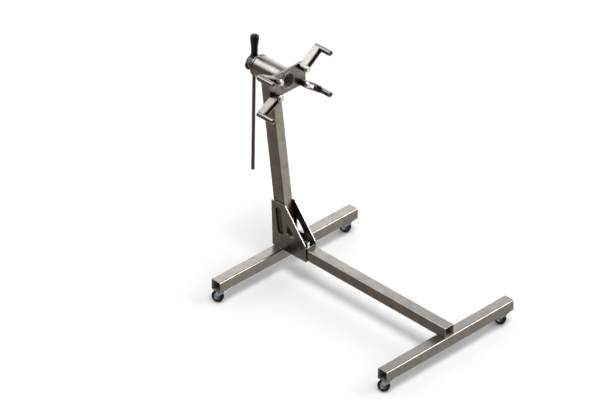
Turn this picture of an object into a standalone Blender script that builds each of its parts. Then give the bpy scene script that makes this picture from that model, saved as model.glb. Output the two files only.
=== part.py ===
"""Engine stand: a caster base, a leaning mast and a rotating head with four mounting arms.

Units are metres and +Z is up.  The crossbars run along X and the head faces -Y.
The origin is on the floor under the middle of the overall box.
"""
from math import atan2, cos, degrees, pi, radians, sin, sqrt, tan

import bmesh
import bpy
from mathutils import Matrix, Vector

FIT = 0.0003                      # clearance left between pieces that touch
ROUND = 36                        # sides of the large round pieces

# Base: two crossbars joined by one leg, all of the same square tube
TUBE = 0.050
TUBE_WALL = 0.004
TUBE_CORNER = 0.006
REAR_BAR_LENGTH = 0.772
FRONT_BAR_LENGTH = 0.710
BAR_SPACING = 0.8935              # between the centre lines of the crossbars
COLLAR_REAR = 0.1815              # rearmost point, behind the rear crossbar's centre line
REAR_BAR_Y = (BAR_SPACING + TUBE / 2 - COLLAR_REAR) / 2
FRONT_BAR_Y = REAR_BAR_Y - BAR_SPACING
BAR_BOTTOM = 0.064                # underside of both crossbars above the floor
BAR_TOP = BAR_BOTTOM + TUBE
COLUMN_X = -0.0107                # leg, mast and head stand a little left of the middle
LEG_RISE = 0.0047                 # the leg's rear end lies this much higher
LEG_REAR_Y = REAR_BAR_Y + 0.025

# Bracket that holds the mast on the rear crossbar and receives the leg
GUSSET_THICKNESS = 0.0052
GUSSET_INNER_X = 0.0253
SLEEVE_FLOOR_THICKNESS = 0.0035
SLEEVE_ROOF_BOTTOM = BAR_TOP + 0.0555
SLEEVE_ROOF_THICKNESS = 0.007
SLEEVE_FRONT = -0.156             # measured from the rear crossbar's centre line
SLEEVE_REAR = 0.030
CLAMP_BOLT_Y = REAR_BAR_Y - 0.134

# Mast: rectangular tube leaning towards the rear
MAST_WIDTH = 0.050
MAST_DEPTH = 0.060
MAST_LEAN = radians(7.7)
MAST_BASE_OFFSET = -0.0258        # of its axis from the rear crossbar, at the crossbar's top

# Rotating head, all on one axis along Y
AXIS_Z = BAR_BOTTOM + 0.828
HOUSING_FRONT = -0.011            # these lie behind the rear crossbar's centre line
HOUSING_REAR = 0.130
HOUSING_RADIUS = 0.04445
HOUSING_BORE = 0.03895
PIPE_FRONT = -0.0285
PIPE_RADIUS = 0.0365
PIPE_BORE = 0.0313
BUSHING_LENGTH = 0.028
BUSHING_FLANGE_RADIUS = 0.0432
BUSHING_FLANGE = 0.003
RING_RADIUS = 0.047
RING_THICKNESS = 0.0055
PLATE_WIDTH = 0.198
PLATE_HEIGHT = 0.106
PLATE_THICKNESS = 0.008
PLATE_FRONT = -0.0245
COLLAR_RADIUS = 0.0315
COLLAR_BORE = 0.026
COLLAR_BOSS_RADIUS = 0.0155
COLLAR_BOSS_TOP = 0.0375          # distance of a boss face from the head's axis
BAR_HOLE_RADIUS = 0.0083

# Turning bar with its grip
BAR_Y = REAR_BAR_Y + 0.163
BAR_RADIUS = 0.007
BAR_TILT = radians(1.3)           # it hangs a little askew in its loose holes
BAR_LOWER_END = -0.492            # along the bar, measured from the head's axis
GRIP_BOTTOM = COLLAR_BOSS_TOP + 2 * FIT
GRIP_LENGTH = 0.090

# Mounting arms: a bent strap with a slot, clamped by a bolt and carrying a standoff tube
BOLT_X = 0.0715
BOLT_Z = 0.036
STRAP_WIDTH = 0.0275
STRAP_DEPTH = 0.033
STRAP_THICKNESS = 0.006
STANDOFF_REACH = 0.100            # from the clamping bolt to the standoff tube
STANDOFF_RADIUS = 0.0115
STANDOFF_BORE = 0.0075
STANDOFF_LENGTH = 0.085
STRAP_TIP = 0.096
BOLT_RADIUS = 0.006
ARMS = {                          # side, height and rest angle of each arm in the head's plane
    "upper_right": (1, 1, 36.0),
    "upper_left": (-1, 1, 151.5),
    "lower_left": (-1, -1, 207.0),
    "lower_right": (1, -1, -36.0),
}

# Swivel casters
CASTER_INSET = 0.0286             # swivel axis to the end of its crossbar
CASTER_TRAIL = 0.0155
CASTER_HEADING = radians(108)     # direction in which all four wheels trail
WHEEL_RADIUS = 0.025
WHEEL_HALF_WIDTH = 0.010
FORK_GAP = 0.0115                 # inner face of a fork leg from the wheel's middle plane
FORK_THICKNESS = 0.003
FORK_TOP = -0.0074                # measured from the crossbar's underside
STEM_RADIUS = 0.006
CASTERS = {
    "rear_left": (-REAR_BAR_LENGTH / 2 + CASTER_INSET, REAR_BAR_Y),
    "rear_right": (REAR_BAR_LENGTH / 2 - CASTER_INSET, REAR_BAR_Y),
    "front_left": (-FRONT_BAR_LENGTH / 2 + CASTER_INSET, FRONT_BAR_Y),
    "front_right": (FRONT_BAR_LENGTH / 2 - CASTER_INSET, FRONT_BAR_Y),
}

TOWARDS_FRONT = Matrix.Rotation(pi / 2, 4, "X")      # turns local +Z into -Y
TOWARDS_REAR = Matrix.Rotation(-pi / 2, 4, "X")      # turns local +Z into +Y


def clear_scene():
    """Remove whatever the file opened with."""
    for item in list(bpy.data.objects):
        bpy.data.objects.remove(item, do_unlink=True)


def make_material(name, colour, metallic, roughness):
    """One plain surface finish."""
    material = bpy.data.materials.new(name)
    material.use_nodes = True
    shader = material.node_tree.nodes["Principled BSDF"]
    shader.inputs["Base Color"].default_value = (*colour, 1.0)
    shader.inputs["Metallic"].default_value = metallic
    shader.inputs["Roughness"].default_value = roughness
    return material


def make_materials():
    """The finishes of the stand, by slot name."""
    return {
        "pewter_coat": make_material("pewter_coat", (0.26, 0.24, 0.21), 0.8, 0.38),
        "steel": make_material("steel", (0.24, 0.26, 0.25), 0.9, 0.42),
        "bar_steel": make_material("bar_steel", (0.10, 0.085, 0.08), 0.9, 0.35),
        "zinc": make_material("zinc", (0.58, 0.62, 0.68), 1.0, 0.28),
        "bronze": make_material("bronze", (0.42, 0.30, 0.14), 1.0, 0.40),
        "black_grip": make_material("black_grip", (0.012, 0.012, 0.013), 0.0, 0.18),
        "black_rubber": make_material("black_rubber", (0.018, 0.020, 0.019), 0.0, 0.60),
    }


# ---------------------------------------------------------------- outlines

def circle(radius, steps, centre=(0.0, 0.0)):
    """Counter-clockwise circle outline."""
    return [(centre[0] + radius * cos(2 * pi * i / steps),
             centre[1] + radius * sin(2 * pi * i / steps)) for i in range(steps)]


def arc(radius, start, end, steps, centre=(0.0, 0.0)):
    """Points along an arc, both ends included, angles in degrees."""
    angles = [radians(start + (end - start) * i / steps) for i in range(steps + 1)]
    return [(centre[0] + radius * cos(angle), centre[1] + radius * sin(angle)) for angle in angles]


def rounded_rectangle(width, height, radius, steps=3):
    """Counter-clockwise rectangle outline with rounded corners."""
    x, y = width / 2 - radius, height / 2 - radius
    return (arc(radius, 0, 90, steps, (x, y)) + arc(radius, 90, 180, steps, (-x, y))
            + arc(radius, 180, 270, steps, (-x, -y)) + arc(radius, 270, 360, steps, (x, -y)))


def hexagon(flats, steps=12):
    """Hexagon outline sampled at evenly spaced angles, so it can be joined to a circle."""
    points = []
    for i in range(steps):
        angle = 2 * pi * i / steps
        radius = flats / 2 / cos((angle % (pi / 3)) - pi / 6)
        points.append((radius * cos(angle), radius * sin(angle)))
    return points


def rounded_slot(start, end, radius, steps=5):
    """Outline of a slot with round ends whose end centres are given."""
    heading = degrees(atan2(end[1] - start[1], end[0] - start[0]))
    return (arc(radius, heading - 90, heading + 90, steps, end)
            + arc(radius, heading + 90, heading + 270, steps, start))


def rounded_polygon(corners, steps=3):
    """Outline through (x, y, radius) corners given counter-clockwise, each rounded by its radius."""
    outline = []
    for i, (x, y, radius) in enumerate(corners):
        here = Vector((x, y))
        before = (Vector(corners[i - 1][:2]) - here).normalized()
        after = (Vector(corners[(i + 1) % len(corners)][:2]) - here).normalized()
        half_angle = before.angle(after) / 2
        centre = here + (before + after).normalized() * radius / sin(half_angle)
        tangent = here + before * radius / tan(half_angle) - centre
        start = degrees(atan2(tangent.y, tangent.x))
        outline += arc(radius, start, start + 180 - 2 * degrees(half_angle), steps, centre)
    return outline


# ---------------------------------------------------------------- solids

def at_height(outline, z):
    """Lift a flat outline to a height."""
    return [(x, y, z) for x, y in outline]


def loft(loops, ring=False):
    """Skin between matching loops.  A ring joins the last loop to the first, otherwise
    both ends are capped.  Returns an open bmesh."""
    solid = bmesh.new()
    rows = [[solid.verts.new(point) for point in loop] for loop in loops]
    pairs = list(zip(rows, rows[1:]))
    if ring:
        pairs.append((rows[-1], rows[0]))
    else:
        solid.faces.new(reversed(rows[0]))
        solid.faces.new(rows[-1])
    count = len(rows[0])
    for lower, upper in pairs:
        for i in range(count):
            j = (i + 1) % count
            solid.faces.new((lower[i], lower[j], upper[j], upper[i]))
    return solid


def hollow_bar(outer, inner, length):
    """Tube along +Z between two matching outlines."""
    return loft([at_height(outer, 0), at_height(outer, length),
                 at_height(inner, length), at_height(inner, 0)], ring=True)


def revolve(profile, steps):
    """Solid of revolution about Z from (radius, height) points.  A profile that starts and
    ends on the axis is solid, any other one is a closed ring section."""
    solid = bmesh.new()
    rows = []
    for radius, height in profile:
        around = circle(radius, steps) if radius > 0 else [(0.0, 0.0)]
        rows.append([solid.verts.new(point) for point in at_height(around, height)])
    pairs = list(zip(rows, rows[1:]))
    if profile[0][0] > 0:
        pairs.append((rows[-1], rows[0]))
    for first, second in pairs:
        for i in range(steps):
            j = i + 1
            corners = (first[i % len(first)], first[j % len(first)],
                       second[j % len(second)], second[i % len(second)])
            solid.faces.new(list(dict.fromkeys(corners)))
    return solid


def flat_plate(outline, holes, thickness):
    """Plate in the XY plane from z = 0 up, pierced by the hole outlines."""
    solid = bmesh.new()
    for loop in [outline, *holes]:
        corners = [solid.verts.new((x, y, 0)) for x, y in loop]
        for i, corner in enumerate(corners):
            solid.edges.new((corner, corners[(i + 1) % len(corners)]))
    bmesh.ops.triangle_fill(solid, use_beauty=True, edges=solid.edges[:])
    lifted = bmesh.ops.extrude_face_region(solid, geom=solid.faces[:])
    top = [item for item in lifted["geom"] if isinstance(item, bmesh.types.BMVert)]
    bmesh.ops.translate(solid, vec=(0, 0, thickness), verts=top)
    return solid


def hex_bolt(flats, head, radius, length, steps=12):
    """Bolt along +Z: the head's bearing face is at z = 0 and the head lies below it."""
    chamfer = 0.0008
    hexed, shank = hexagon(flats, steps), circle(radius, steps)
    crown, point = circle(flats / 2 - chamfer, steps), circle(radius - chamfer, steps)
    return loft([at_height(crown, -head), at_height(hexed, -head + chamfer), at_height(hexed, 0),
                 at_height(shank, 0), at_height(shank, length - chamfer), at_height(point, length)])


def hex_nut(flats, thickness, bore, steps=12):
    """Nut from z = 0 up with a plain bore."""
    chamfer = 0.0007
    hexed, crown, hole = hexagon(flats, steps), circle(flats / 2, steps), circle(bore, steps)
    return loft([at_height(hexed, 0), at_height(hexed, thickness - chamfer),
                 at_height(crown, thickness), at_height(hole, thickness), at_height(hole, 0)], ring=True)


def washer(radius, bore, thickness, steps=16):
    """Flat ring from z = 0 up."""
    return revolve([(bore, 0), (radius, 0), (radius, thickness), (bore, thickness)], steps)


# ---------------------------------------------------------------- objects

def add_piece(name, solid, material, placement=None, smooth=True):
    """Turn a closed bmesh into a named object; its origin is the placement's origin."""
    bmesh.ops.recalc_face_normals(solid, faces=solid.faces)
    mesh = bpy.data.meshes.new(name)
    solid.to_mesh(mesh)
    solid.free()
    mesh.materials.append(material)
    if smooth:
        mesh.shade_smooth()
        mesh.set_sharp_from_angle(angle=radians(32))
    piece = bpy.data.objects.new(name, mesh)
    bpy.context.collection.objects.link(piece)
    piece.matrix_world = placement or Matrix()
    return piece


def combine(piece, solid, operation, placement=None):
    """Join a solid to a piece or cut it away; the solid is placed in the piece's own frame."""
    mesh = bpy.data.meshes.new("cutter")
    bmesh.ops.recalc_face_normals(solid, faces=solid.faces)
    solid.to_mesh(mesh)
    solid.free()
    tool = bpy.data.objects.new("cutter", mesh)
    bpy.context.collection.objects.link(tool)
    tool.matrix_world = piece.matrix_world @ (placement or Matrix())
    change = piece.modifiers.new("change", "BOOLEAN")
    change.operation = operation
    change.solver = "EXACT"
    change.object = tool
    bpy.context.view_layer.update()
    evaluated = piece.evaluated_get(bpy.context.evaluated_depsgraph_get())
    result = bpy.data.meshes.new_from_object(evaluated)
    piece.modifiers.clear()
    old_mesh = piece.data
    result.name = old_mesh.name
    piece.data = result
    bpy.data.objects.remove(tool, do_unlink=True)
    bpy.data.meshes.remove(mesh)
    bpy.data.meshes.remove(old_mesh)
    piece.data.set_sharp_from_angle(angle=radians(32))


def moved(x, y, z):
    """Placement without rotation."""
    return Matrix.Translation((x, y, z))


def on_head_axis(y):
    """Placement on the head's axis, local +Z to the rear, y behind the rear crossbar."""
    return moved(COLUMN_X, REAR_BAR_Y + y, AXIS_Z) @ TOWARDS_REAR


# ---------------------------------------------------------------- base

def tube_outlines(width, height):
    """Outer and inner outline of the stand's tube."""
    outer = rounded_rectangle(width, height, TUBE_CORNER)
    inner = rounded_rectangle(width - 2 * TUBE_WALL, height - 2 * TUBE_WALL, TUBE_CORNER - TUBE_WALL)
    return outer, inner


def build_crossbar(name, length, y, material):
    """Square tube along X with open ends and a stem hole above each caster."""
    outer, inner = tube_outlines(TUBE, TUBE)
    lying = Matrix.Rotation(pi / 2, 4, "Y")
    middle = BAR_BOTTOM + TUBE / 2
    bar = add_piece(name, hollow_bar(outer, inner, length), material,
                    moved(-length / 2, y, middle) @ lying)
    hole = circle(STEM_RADIUS + FIT, 12)
    for x in (CASTER_INSET, length - CASTER_INSET):
        drill = loft([at_height(hole, -TUBE), at_height(hole, -TUBE / 3)])
        combine(bar, drill, "DIFFERENCE", lying.inverted() @ moved(x, 0, 0))
    return bar


def build_leg(material):
    """Leg from the front crossbar's front face back into the sleeve, drilled for its bolt."""
    outer, inner = tube_outlines(TUBE, TUBE)
    front = Vector((COLUMN_X, FRONT_BAR_Y - TUBE / 2, BAR_TOP + FIT + TUBE / 2))
    rear = Vector((COLUMN_X, LEG_REAR_Y, front.z + LEG_RISE))
    run = rear - front
    tilt = Matrix.Rotation(run.z / run.y, 4, "X")
    placement = Matrix.Translation(front) @ tilt @ TOWARDS_REAR
    leg = add_piece("base_leg", hollow_bar(outer, inner, run.length), material, placement)
    drill = loft([at_height(circle(BOLT_RADIUS + FIT, 12), z) for z in (-TUBE, TUBE)])
    spot = moved(COLUMN_X, CLAMP_BOLT_Y, BAR_TOP + TUBE / 2)
    combine(leg, drill, "DIFFERENCE", placement.inverted() @ spot)


def gusset_outline():
    """Side plate seen from +X: distance behind the crossbar, height above the bars' underside."""
    return rounded_polygon([(-0.1590, 0.0508, 0.002), (0.0325, 0.0503, 0.002), (0.0388, 0.2595, 0.002),
                            (-0.0370, 0.2645, 0.010), (-0.1535, 0.1215, 0.012)])


def gusset_openings():
    """Leaning slot beside the mast, rounded triangle in front of it and a small tab slot."""
    leaning = rounded_slot((-0.0120, 0.1350), (0.0000, 0.2210), 0.0165)
    triangle = rounded_polygon([(-0.0975, 0.1300, 0.007), (-0.0475, 0.1300, 0.007), (-0.0475, 0.1920, 0.006)])
    tab = rounded_slot((-0.1385, 0.1050), (-0.1285, 0.1065), 0.0040, 4)
    return [leaning, triangle, tab]


def build_bracket(material):
    """Two gussets with the floor and roof of the sleeve between them."""
    upright = Matrix(((0, 0, 1, 0), (1, 0, 0, 0), (0, 1, 0, 0), (0, 0, 0, 1)))
    for name, x in (("left_gusset", -GUSSET_INNER_X - GUSSET_THICKNESS), ("right_gusset", GUSSET_INNER_X)):
        plate = flat_plate(gusset_outline(), gusset_openings(), GUSSET_THICKNESS)
        add_piece(name, plate, material, moved(COLUMN_X + x, REAR_BAR_Y, BAR_BOTTOM) @ upright, smooth=False)
    width = MAST_WIDTH
    length = SLEEVE_REAR - SLEEVE_FRONT
    outline = [(-width / 2, 0), (width / 2, 0), (width / 2, length), (-width / 2, length)]
    hole = circle(BOLT_RADIUS + FIT, 12, (0, CLAMP_BOLT_Y - REAR_BAR_Y - SLEEVE_FRONT))
    for name, z, thickness in (("sleeve_floor", BAR_TOP + FIT, SLEEVE_FLOOR_THICKNESS),
                               ("sleeve_roof", SLEEVE_ROOF_BOTTOM, SLEEVE_ROOF_THICKNESS)):
        add_piece(name, flat_plate(outline, [hole], thickness), material,
                  moved(COLUMN_X, REAR_BAR_Y + SLEEVE_FRONT, z), smooth=False)


def build_leg_clamp(material):
    """Bolt through the sleeve and the leg, with a washer under its head and a nut below."""
    washer_thickness = 0.0025
    flats = 0.017
    top = SLEEVE_ROOF_BOTTOM + SLEEVE_ROOF_THICKNESS
    add_piece("leg_clamp_washer", washer(0.0105, BOLT_RADIUS + FIT, washer_thickness), material,
              moved(COLUMN_X, CLAMP_BOLT_Y, top + FIT))
    head_face = top + washer_thickness + 2 * FIT
    nut_top = BAR_TOP
    length = head_face - nut_top + 0.014
    pointing_down = Matrix.Rotation(pi, 4, "X")
    add_piece("leg_clamp_bolt", hex_bolt(flats, 0.0085, BOLT_RADIUS, length), material,
              moved(COLUMN_X, CLAMP_BOLT_Y, head_face) @ pointing_down)
    add_piece("leg_clamp_nut", hex_nut(flats, 0.010, BOLT_RADIUS + FIT), material,
              moved(COLUMN_X, CLAMP_BOLT_Y, nut_top) @ pointing_down)


def build_mast(material):
    """Leaning tube from the sleeve's roof up to a saddle under the head housing."""
    foot = SLEEVE_ROOF_BOTTOM + SLEEVE_ROOF_THICKNESS + FIT
    outer, inner = tube_outlines(MAST_WIDTH, MAST_DEPTH / cos(MAST_LEAN))

    def level(outline, z):
        """The tube cut level at a height; it moves back as it rises."""
        back = MAST_BASE_OFFSET + (z - BAR_TOP) * tan(MAST_LEAN)
        return [(x, y + back, z - foot) for x, y in outline]

    loops = [level(outer, foot), level(outer, AXIS_Z), level(inner, AXIS_Z), level(inner, foot)]
    mast = add_piece("mast", loft(loops, ring=True), material, moved(COLUMN_X, REAR_BAR_Y, foot))
    reach = 0.25
    saddle = loft([at_height(circle(HOUSING_RADIUS + FIT, ROUND), z) for z in (-reach, reach)])
    combine(mast, saddle, "DIFFERENCE", moved(0, 0, AXIS_Z - foot) @ TOWARDS_REAR)


# ---------------------------------------------------------------- rotating head

def build_housing(coat, bronze):
    """Fixed housing tube with a flanged bushing pressed into each end."""
    length = HOUSING_REAR - HOUSING_FRONT
    add_piece("head_housing", revolve([(HOUSING_BORE, 0), (HOUSING_RADIUS, 0), (HOUSING_RADIUS, length),
                                       (HOUSING_BORE, length)], ROUND), coat, on_head_axis(HOUSING_FRONT))
    bore, outside = PIPE_RADIUS + FIT, HOUSING_BORE - FIT
    sleeve = [(bore, -BUSHING_FLANGE), (BUSHING_FLANGE_RADIUS, -BUSHING_FLANGE),
              (BUSHING_FLANGE_RADIUS, -FIT), (outside, -FIT), (outside, BUSHING_LENGTH),
              (bore, BUSHING_LENGTH)]
    add_piece("front_bushing", revolve(sleeve, ROUND), bronze, on_head_axis(HOUSING_FRONT))
    facing_front = on_head_axis(HOUSING_REAR) @ Matrix.Rotation(pi, 4, "X")
    add_piece("rear_bushing", revolve(sleeve, ROUND), bronze, facing_front)


def build_rotating_pipe(coat):
    """Pipe that turns in the bushings, the mounting plate on it and the ring that retains it."""
    rear = HOUSING_REAR + BUSHING_FLANGE + FIT
    length = rear - PIPE_FRONT
    add_piece("head_pipe", revolve([(PIPE_BORE, 0), (PIPE_RADIUS, 0), (PIPE_RADIUS, length),
                                    (PIPE_BORE, length)], ROUND), coat, on_head_axis(PIPE_FRONT))
    ring = [(0, 0), (RING_RADIUS - 0.001, 0), (RING_RADIUS, 0.001), (RING_RADIUS, RING_THICKNESS - 0.001),
            (RING_RADIUS - 0.001, RING_THICKNESS), (0, RING_THICKNESS)]
    add_piece("retaining_ring", revolve(ring, ROUND), coat, on_head_axis(rear + FIT))
    holes = [circle(BOLT_RADIUS + FIT, 12, (side * BOLT_X, height * BOLT_Z))
             for side, height, _ in ARMS.values()]
    outline = rounded_rectangle(PLATE_WIDTH, PLATE_HEIGHT, 0.006, 3)
    plate = flat_plate(outline, [circle(PIPE_RADIUS + FIT, ROUND), *holes], PLATE_THICKNESS)
    add_piece("head_plate", plate, coat,
              moved(COLUMN_X, REAR_BAR_Y + PLATE_FRONT + PLATE_THICKNESS, AXIS_Z) @ TOWARDS_FRONT)


def build_collar(material):
    """Short pipe behind the retaining ring with four bosses for the turning bar."""
    front = HOUSING_REAR + BUSHING_FLANGE + RING_THICKNESS + 3 * FIT
    length = COLLAR_REAR - front
    edge = 0.003
    pipe = [(COLLAR_BORE, 0), (COLLAR_RADIUS, 0), (COLLAR_RADIUS, length - edge),
            (COLLAR_RADIUS - edge, length), (COLLAR_BORE, length)]
    collar = add_piece("turning_collar", revolve(pipe, ROUND), material, on_head_axis(front))
    crossing = BAR_Y - REAR_BAR_Y - front
    inside = (COLLAR_RADIUS + COLLAR_BORE) / 2
    quarter_turns = [moved(0, 0, crossing) @ Matrix.Rotation(i * pi / 2, 4, "Z")
                     @ Matrix.Rotation(pi / 2, 4, "Y") for i in range(4)]
    for turn in quarter_turns:
        outline = circle(COLLAR_BOSS_RADIUS, 16)
        boss = loft([at_height(outline, inside), at_height(outline, COLLAR_BOSS_TOP)])
        combine(collar, boss, "UNION", turn)
    for turn in quarter_turns[:2]:
        reach = COLLAR_BOSS_TOP + 0.01
        drill = loft([at_height(circle(BAR_HOLE_RADIUS, 12), z) for z in (-reach, reach)])
        combine(collar, drill, "DIFFERENCE", turn)


def build_turning_bar(steel, grip_material):
    """Round bar through the collar with a tapered grip that rests on the upper boss."""
    point = 0.003
    top = GRIP_BOTTOM + 0.068
    bar = [(0, BAR_LOWER_END), (BAR_RADIUS - point, BAR_LOWER_END), (BAR_RADIUS, BAR_LOWER_END + point),
           (BAR_RADIUS, top), (0, top)]
    askew = moved(COLUMN_X, BAR_Y, AXIS_Z) @ Matrix.Rotation(BAR_TILT, 4, "Y")
    add_piece("turning_bar", revolve(bar, 16), steel, askew)
    profile = [(0.0124, 0), (0.0128, 0.004), (0.0134, 0.030), (0.0152, 0.055), (0.0176, 0.070),
               (0.0178, 0.078), (0.0158, 0.0855), (0.0095, 0.0893), (0, GRIP_LENGTH)]
    outside = [(radius, GRIP_BOTTOM + height) for radius, height in profile]
    socket = [(0, top + FIT), (BAR_RADIUS + FIT, top + FIT), (BAR_RADIUS + FIT, GRIP_BOTTOM)]
    add_piece("bar_grip", revolve(outside[::-1] + socket[::-1], 20), grip_material, askew)


# ---------------------------------------------------------------- mounting arms

def strap_outline():
    """Bent strap seen from the front: round end about the bolt, open end on the standoff."""
    half = STRAP_WIDTH / 2
    gap = half - STRAP_THICKNESS
    seat = STANDOFF_RADIUS + FIT
    start = sqrt(seat ** 2 - (STANDOFF_REACH - STRAP_TIP) ** 2)
    upper_tip = [(STRAP_TIP, half)]
    cope = []
    for i in range(4):
        height = gap + (start - gap) * i / 3
        cope.append((STANDOFF_REACH - sqrt(seat ** 2 - height ** 2), height))
    lower_cope = [(x, -y) for x, y in cope]
    return (upper_tip + arc(half, 90, 270, 12) + [(STRAP_TIP, -half)] + lower_cope[::-1]
            + arc(gap, 270, 90, 10) + cope)


def build_arm(name, side, height, angle, coat, zinc):
    """One slotted arm with its standoff tube, clamping bolt, washer and nut."""
    front = REAR_BAR_Y + PLATE_FRONT
    pivot = (COLUMN_X + side * BOLT_X, AXIS_Z + height * BOLT_Z)

    def facing(y, turn=0.0):
        """Placement on the bolt's axis, local +Z to the front, turned within the head's plane."""
        return moved(pivot[0], y, pivot[1]) @ TOWARDS_FRONT @ Matrix.Rotation(turn, 4, "Z")

    turn = radians(angle)
    add_piece("arm_strap_" + name, flat_plate(strap_outline(), [], STRAP_DEPTH), coat,
              facing(front - FIT, turn))
    standoff = add_piece("standoff_tube_" + name, hollow_bar(circle(STANDOFF_RADIUS, 16),
                         circle(STANDOFF_BORE, 16), STANDOFF_LENGTH), coat)
    standoff.data.transform(moved(STANDOFF_REACH, 0, 0))
    standoff.matrix_world = facing(front - FIT, turn)

    washer_thickness = 0.0027
    washer_back = front - FIT - STRAP_DEPTH - FIT
    head_face = washer_back - washer_thickness - FIT
    plate_back = front + PLATE_THICKNESS
    length = plate_back + 0.0135 - head_face
    add_piece("arm_washer_" + name, washer(0.0145, BOLT_RADIUS + FIT, washer_thickness), zinc,
              facing(washer_back))
    add_piece("arm_bolt_" + name, hex_bolt(0.019, 0.0075, BOLT_RADIUS, length), zinc,
              moved(pivot[0], head_face, pivot[1]) @ TOWARDS_REAR)
    add_piece("arm_nut_" + name, hex_nut(0.019, 0.010, BOLT_RADIUS + FIT), zinc,
              moved(pivot[0], plate_back + FIT, pivot[1]) @ TOWARDS_REAR)


# ---------------------------------------------------------------- casters

def fork_leg_outline():
    """Fork leg seen along the wheel's axle: trail to +X, height above the crossbar's underside."""
    axle = (CASTER_TRAIL, WHEEL_RADIUS - BAR_BOTTOM)
    top = FORK_TOP - FORK_THICKNESS / 2
    return [(-0.0070, top), *arc(0.0080, 200, 345, 6, axle), (0.0190, top)], axle


def build_fork(name, placement, material):
    """Fork bent from plate: a round top that turns under the race and a leg each side."""
    top = [(STEM_RADIUS + FIT, FORK_TOP - FORK_THICKNESS), (0.0220, FORK_TOP - FORK_THICKNESS),
           (0.0220, FORK_TOP), (STEM_RADIUS + FIT, FORK_TOP)]
    fork = add_piece(name, revolve(top, 20), material, placement)
    outline, axle = fork_leg_outline()
    for side in (FORK_GAP, -FORK_GAP - FORK_THICKNESS):
        leg = flat_plate(outline, [circle(0.0043, 8, axle)], FORK_THICKNESS)
        combine(fork, leg, "UNION", moved(0, side + FORK_THICKNESS, 0) @ TOWARDS_FRONT)


def build_caster_stem(name, below, material):
    """Threaded stem with the upper race riveted on it, and the nut that holds it in the crossbar."""
    under_fork = FORK_TOP - FORK_THICKNESS - FIT
    head = 0.0036
    top = TUBE_WALL + 0.014
    stem = [(0, under_fork - head), (0.0060, under_fork - head), (0.0080, under_fork - head / 2),
            (0.0080, under_fork), (STEM_RADIUS, under_fork), (STEM_RADIUS, -0.0070),
            (0.0185, -0.0070), (0.0225, -0.0055), (0.0235, -0.0030), (0.0235, -FIT),
            (STEM_RADIUS, -FIT), (STEM_RADIUS, top - 0.001), (STEM_RADIUS - 0.001, top), (0, top)]
    add_piece("caster_stem_" + name, revolve(stem, 16), material, below)
    nut = hex_nut(0.019, 0.009, STEM_RADIUS + FIT)
    add_piece("caster_nut_" + name, nut, material, below @ moved(0, 0, TUBE_WALL + FIT))


def build_caster(name, x, y, zinc, rubber):
    """Stem fixed to the crossbar and the swivelling fork with its wheel and axle."""
    below = moved(x, y, BAR_BOTTOM)
    build_caster_stem(name, below, zinc)
    heading = below @ Matrix.Rotation(CASTER_HEADING, 4, "Z")
    build_fork("caster_fork_" + name, heading, zinc)
    axle_line = heading @ moved(CASTER_TRAIL, 0, WHEEL_RADIUS - BAR_BOTTOM) @ TOWARDS_FRONT
    web = WHEEL_HALF_WIDTH - 0.003
    tyre = [(0.0043, -WHEEL_HALF_WIDTH - 0.001), (0.0085, -WHEEL_HALF_WIDTH - 0.001), (0.0090, -web),
            (0.0170, -web), (0.0180, -WHEEL_HALF_WIDTH), (0.0235, -WHEEL_HALF_WIDTH),
            (WHEEL_RADIUS, -0.0070)]
    tyre += [(radius, -along) for radius, along in reversed(tyre)]
    add_piece("caster_wheel_" + name, revolve(tyre, 24), rubber, axle_line)
    leg_face = FORK_GAP + FORK_THICKNESS + FIT
    axle = [(0, -leg_face - 0.0030), (0.0060, -leg_face - 0.0020), (0.0060, -leg_face),
            (0.0040, -leg_face)]
    axle += [(radius, -along) for radius, along in reversed(axle)]
    add_piece("caster_axle_" + name, revolve(axle, 12), zinc, axle_line)


def build():
    """Build every piece of the stand."""
    clear_scene()
    finish = make_materials()
    coat, zinc = finish["pewter_coat"], finish["zinc"]
    build_crossbar("rear_crossbar", REAR_BAR_LENGTH, REAR_BAR_Y, coat)
    build_crossbar("front_crossbar", FRONT_BAR_LENGTH, FRONT_BAR_Y, coat)
    build_leg(coat)
    build_bracket(coat)
    build_leg_clamp(zinc)
    build_mast(coat)
    build_housing(coat, finish["bronze"])
    build_rotating_pipe(coat)
    build_collar(finish["steel"])
    build_turning_bar(finish["bar_steel"], finish["black_grip"])
    for name, (side, height, angle) in ARMS.items():
        build_arm(name, side, height, angle, coat, zinc)
    for name, (x, y) in CASTERS.items():
        build_caster(name, x, y, zinc, finish["black_rubber"])


build()
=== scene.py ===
"""Looks of the engine stand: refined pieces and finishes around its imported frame.

Units are metres and +Z is up.  The crossbars run along X and the head faces -Y.
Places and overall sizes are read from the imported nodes, which are never moved or changed.
"""

from math import atan2, ceil, cos, degrees, pi, radians, sin, sqrt, tan

import bmesh
import bpy
from mathutils import Matrix, Vector, noise


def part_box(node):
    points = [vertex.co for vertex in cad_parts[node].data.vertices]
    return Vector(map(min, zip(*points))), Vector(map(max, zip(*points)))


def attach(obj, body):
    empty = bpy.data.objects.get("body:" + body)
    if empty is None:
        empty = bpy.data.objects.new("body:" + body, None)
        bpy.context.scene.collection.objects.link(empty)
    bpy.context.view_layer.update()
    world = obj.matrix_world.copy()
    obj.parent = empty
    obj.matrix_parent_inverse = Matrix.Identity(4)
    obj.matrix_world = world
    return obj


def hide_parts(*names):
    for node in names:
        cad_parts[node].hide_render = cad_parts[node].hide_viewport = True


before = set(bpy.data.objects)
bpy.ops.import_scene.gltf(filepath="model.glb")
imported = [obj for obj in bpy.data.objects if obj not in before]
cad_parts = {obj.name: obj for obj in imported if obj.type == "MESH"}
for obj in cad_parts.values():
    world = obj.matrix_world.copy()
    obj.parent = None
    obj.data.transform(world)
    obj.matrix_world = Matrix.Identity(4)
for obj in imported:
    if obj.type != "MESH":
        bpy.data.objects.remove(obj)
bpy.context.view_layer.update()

SMOOTH_STEPS = 96                 # sides of the large round pieces
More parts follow.
